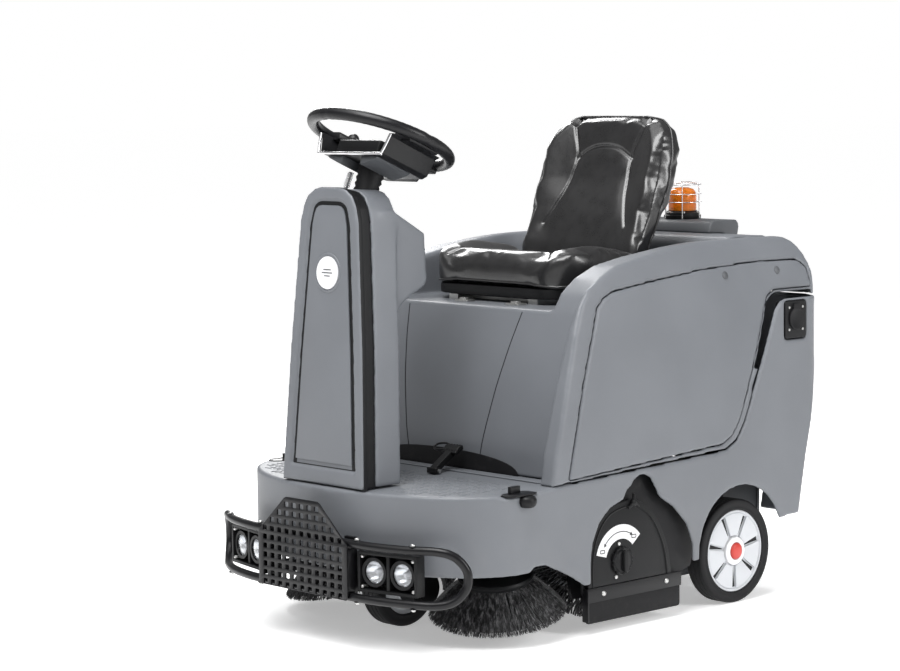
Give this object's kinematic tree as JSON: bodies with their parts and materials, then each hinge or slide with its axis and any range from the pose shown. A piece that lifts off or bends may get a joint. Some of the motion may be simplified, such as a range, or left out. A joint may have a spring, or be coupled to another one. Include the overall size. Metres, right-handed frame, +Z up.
{
  "type": "ride-on sweeper",
  "caption": "Ride-on floor sweeper with a steering column, tilting hood with seat, side brushes, main brush roller, rear hopper, front bumper guard and beacon.",
  "frame": {"origin": "on the floor, below the centre of the bounding box", "axes": "+Z up; +Y towards the rear of the machine, which drives towards -Y; +X towards its left side"},
  "size_m": [0.88, 1.3358, 1.196],
  "materials": {
    "body_grey": "fine moulded texture, satin",
    "dark_grey_plastic": "fine moulded texture",
    "black_plastic": "satin moulded",
    "black_steel": "powder coated, semi-gloss",
    "steel": "zinc plated",
    "rubber": "matt",
    "tyre_rubber": "solid tyre, matt",
    "silver_plastic": "silver lacquer",
    "seat_vinyl": "grained black vinyl, semi-gloss",
    "bristle": "nylon filament",
    "clear_lens": "clear",
    "amber_lens": "amber, transparent",
    "battery_case": "moulded",
    "filter_paper": "pleated filter medium"
  },
  "bodies": {
    "chassis": {"chassis_frame": "black_steel", "lower_body": "body_grey", "column_front_cover": "body_grey", "column_band": "black_plastic", "column_rear_cover": "body_grey", "column_post": "black_steel", "bumper_tube": "black_steel", "guard_plate": "black_steel", "lamp_housing_left": "black_plastic", "lamp_housing_right": "black_plastic", "lamp_lens_left": "clear_lens", "lamp_lens_right": "clear_lens", "brush_door_left": "black_plastic", "brush_door_right": "black_plastic", "side_skirt_left": "rubber", "side_skirt_right": "rubber", "fork_bearing": "steel", "rear_axle": "black_steel", "battery_left": "battery_case", "battery_right": "battery_case", "dust_filter": "filter_paper", "suction_fan": "black_plastic", "charger_socket": "black_plastic"},
    "steering": {"steering_wheel": "black_plastic", "steering_hub": "black_plastic", "steering_shaft": "steel"},
    "fork": {"front_fork": "black_steel", "drive_motor": "black_plastic"},
    "front_wheel": {"front_tyre": "tyre_rubber", "front_wheel_hub": "silver_plastic"},
    "rear_wheel_left": {"rear_tyre_left": "tyre_rubber", "rear_wheel_left": "silver_plastic"},
    "rear_wheel_right": {"rear_tyre_right": "tyre_rubber", "rear_wheel_right": "silver_plastic"},
    "lever_left": {"lift_lever_left": "black_steel"},
    "lever_right": {"lift_lever_right": "black_steel"},
    "side_arm_left": {"side_brush_motor_left": "black_plastic"},
    "side_arm_right": {"side_brush_motor_right": "black_plastic"},
    "side_brush_left": {"side_brush_left": "bristle"},
    "side_brush_right": {"side_brush_right": "bristle"},
    "knob_left": {"door_knob_left": "black_plastic"},
    "knob_right": {"door_knob_right": "black_plastic"},
    "carriage": {"brush_carriage": "black_steel", "brush_motor": "black_plastic"},
    "main_brush": {"main_brush": "bristle"},
    "pedal": {"drive_pedal": "black_plastic"},
    "hopper": {"hopper": "dark_grey_plastic"},
    "hood": {"hood": "body_grey", "side_panel_left": "body_grey", "side_panel_right": "body_grey", "seat_rails": "steel", "beacon_base": "dark_grey_plastic", "beacon_lens": "amber_lens", "beacon_cage": "steel"},
    "seat": {"seat_pan": "black_steel", "seat_cushion": "seat_vinyl", "seat_back": "seat_vinyl"},
    "beacon_rotor": {"beacon_reflector": "silver_plastic"},
    "charger_cap": {"charger_cap": "black_plastic"},
    "key": {"key_switch": "black_plastic"}
  },
  "joints": [
    {"name": "steering_turn", "type": "hinge", "parent": "chassis", "child": "steering", "pos_m": [0, -0.415, 1.119], "axis": [0, 0.3939, 0.9191], "range_deg": [-160, 160]},
    {"name": "fork_turn", "type": "hinge", "parent": "chassis", "child": "fork", "pos_m": [0, -0.378, 0.2], "axis": [0, 0, 1], "range_deg": [-80, 80]},
    {"name": "front_wheel_roll", "type": "hinge", "parent": "fork", "child": "front_wheel", "pos_m": [0, -0.378, 0.095], "axis": [1, 0, 0], "continuous": true},
    {"name": "rear_wheel_left_roll", "type": "hinge", "parent": "chassis", "child": "rear_wheel_left", "pos_m": [0.366, 0.352, 0.125], "axis": [1, 0, 0], "continuous": true},
    {"name": "rear_wheel_right_roll", "type": "hinge", "parent": "chassis", "child": "rear_wheel_right", "pos_m": [-0.366, 0.352, 0.125], "axis": [1, 0, 0], "continuous": true},
    {"name": "lever_left_turn", "type": "hinge", "parent": "chassis", "child": "lever_left", "pos_m": [0.376, -0.38, 0.348], "axis": [0, -1, 0], "range_deg": [0, 40]},
    {"name": "lever_right_turn", "type": "hinge", "parent": "chassis", "child": "lever_right", "pos_m": [-0.376, -0.38, 0.348], "axis": [0, 1, 0], "range_deg": [0, 40]},
    {"name": "side_arm_left_lower", "type": "hinge", "parent": "chassis", "child": "side_arm_left", "pos_m": [0.261, -0.216, 0.27], "axis": [-1, 0, 0], "range_deg": [-2.5, 0]},
    {"name": "side_arm_right_lower", "type": "hinge", "parent": "chassis", "child": "side_arm_right", "pos_m": [-0.261, -0.216, 0.27], "axis": [-1, 0, 0], "range_deg": [-2.5, 0]},
    {"name": "side_brush_left_spin", "type": "hinge", "parent": "side_arm_left", "child": "side_brush_left", "pos_m": [0.264, -0.322, 0.136], "axis": [0.1115, -0.1653, 0.9799], "continuous": true},
    {"name": "side_brush_right_spin", "type": "hinge", "parent": "side_arm_right", "child": "side_brush_right", "pos_m": [-0.264, -0.322, 0.136], "axis": [-0.1115, -0.1653, 0.9799], "continuous": true},
    {"name": "knob_left_turn", "type": "hinge", "parent": "chassis", "child": "knob_left", "pos_m": [0.41, -0.06, 0.159], "axis": [1, 0, 0], "range_deg": [0, 120]},
    {"name": "knob_right_turn", "type": "hinge", "parent": "chassis", "child": "knob_right", "pos_m": [-0.41, -0.06, 0.159], "axis": [1, 0, 0], "range_deg": [0, 120]},
    {"name": "carriage_lift", "type": "hinge", "parent": "chassis", "child": "carriage", "pos_m": [0, -0.19, 0.27], "axis": [1, 0, 0], "range_deg": [0, 1.8]},
    {"name": "main_brush_spin", "type": "hinge", "parent": "carriage", "child": "main_brush", "pos_m": [0, -0.025, 0.13], "axis": [1, 0, 0], "continuous": true},
    {"name": "pedal_press", "type": "hinge", "parent": "chassis", "child": "pedal", "pos_m": [0.06, -0.32, 0.36], "axis": [-1, 0, 0], "range_deg": [0, 9], "stiffness_Nm_per_rad": 1.5, "springref_deg": -5.73},
    {"name": "hopper_pull", "type": "slide", "parent": "chassis", "child": "hopper", "axis": [0, 1, 0], "range_m": [0, 0.4]},
    {"name": "hood_tilt", "type": "hinge", "parent": "chassis", "child": "hood", "pos_m": [0, 0.664, 0.718], "axis": [-1, 0, 0], "range_deg": [0, 30]},
    {"name": "seat_adjust", "type": "slide", "parent": "hood", "child": "seat", "axis": [0, 1, 0], "range_m": [-0.04, 0.04]},
    {"name": "beacon_spin", "type": "hinge", "parent": "hood", "child": "beacon_rotor", "pos_m": [0, 0.6, 0.93], "axis": [0, 0, 1], "continuous": true},
    {"name": "charger_cap_open", "type": "hinge", "parent": "chassis", "child": "charger_cap", "pos_m": [0.4186, 0.545, 0.706], "axis": [0, -1, 0], "range_deg": [0, 120]},
    {"name": "key_turn", "type": "hinge", "parent": "chassis", "child": "key", "pos_m": [-0.034, -0.402, 0.9288], "axis": [0, 0.5028, 0.8644], "range_deg": [0, 90]}
  ],
  "couplings": [
    {"joint": "fork_turn", "follows": "steering_turn", "ratio": 0.5},
    {"joint": "side_arm_left_lower", "follows": "lever_left_turn", "ratio": -0.0625},
    {"joint": "side_arm_right_lower", "follows": "lever_right_turn", "ratio": -0.0625},
    {"joint": "knob_left_turn", "follows": "carriage_lift", "ratio": 66.666},
    {"joint": "knob_right_turn", "follows": "carriage_lift", "ratio": 66.666}
  ]
}
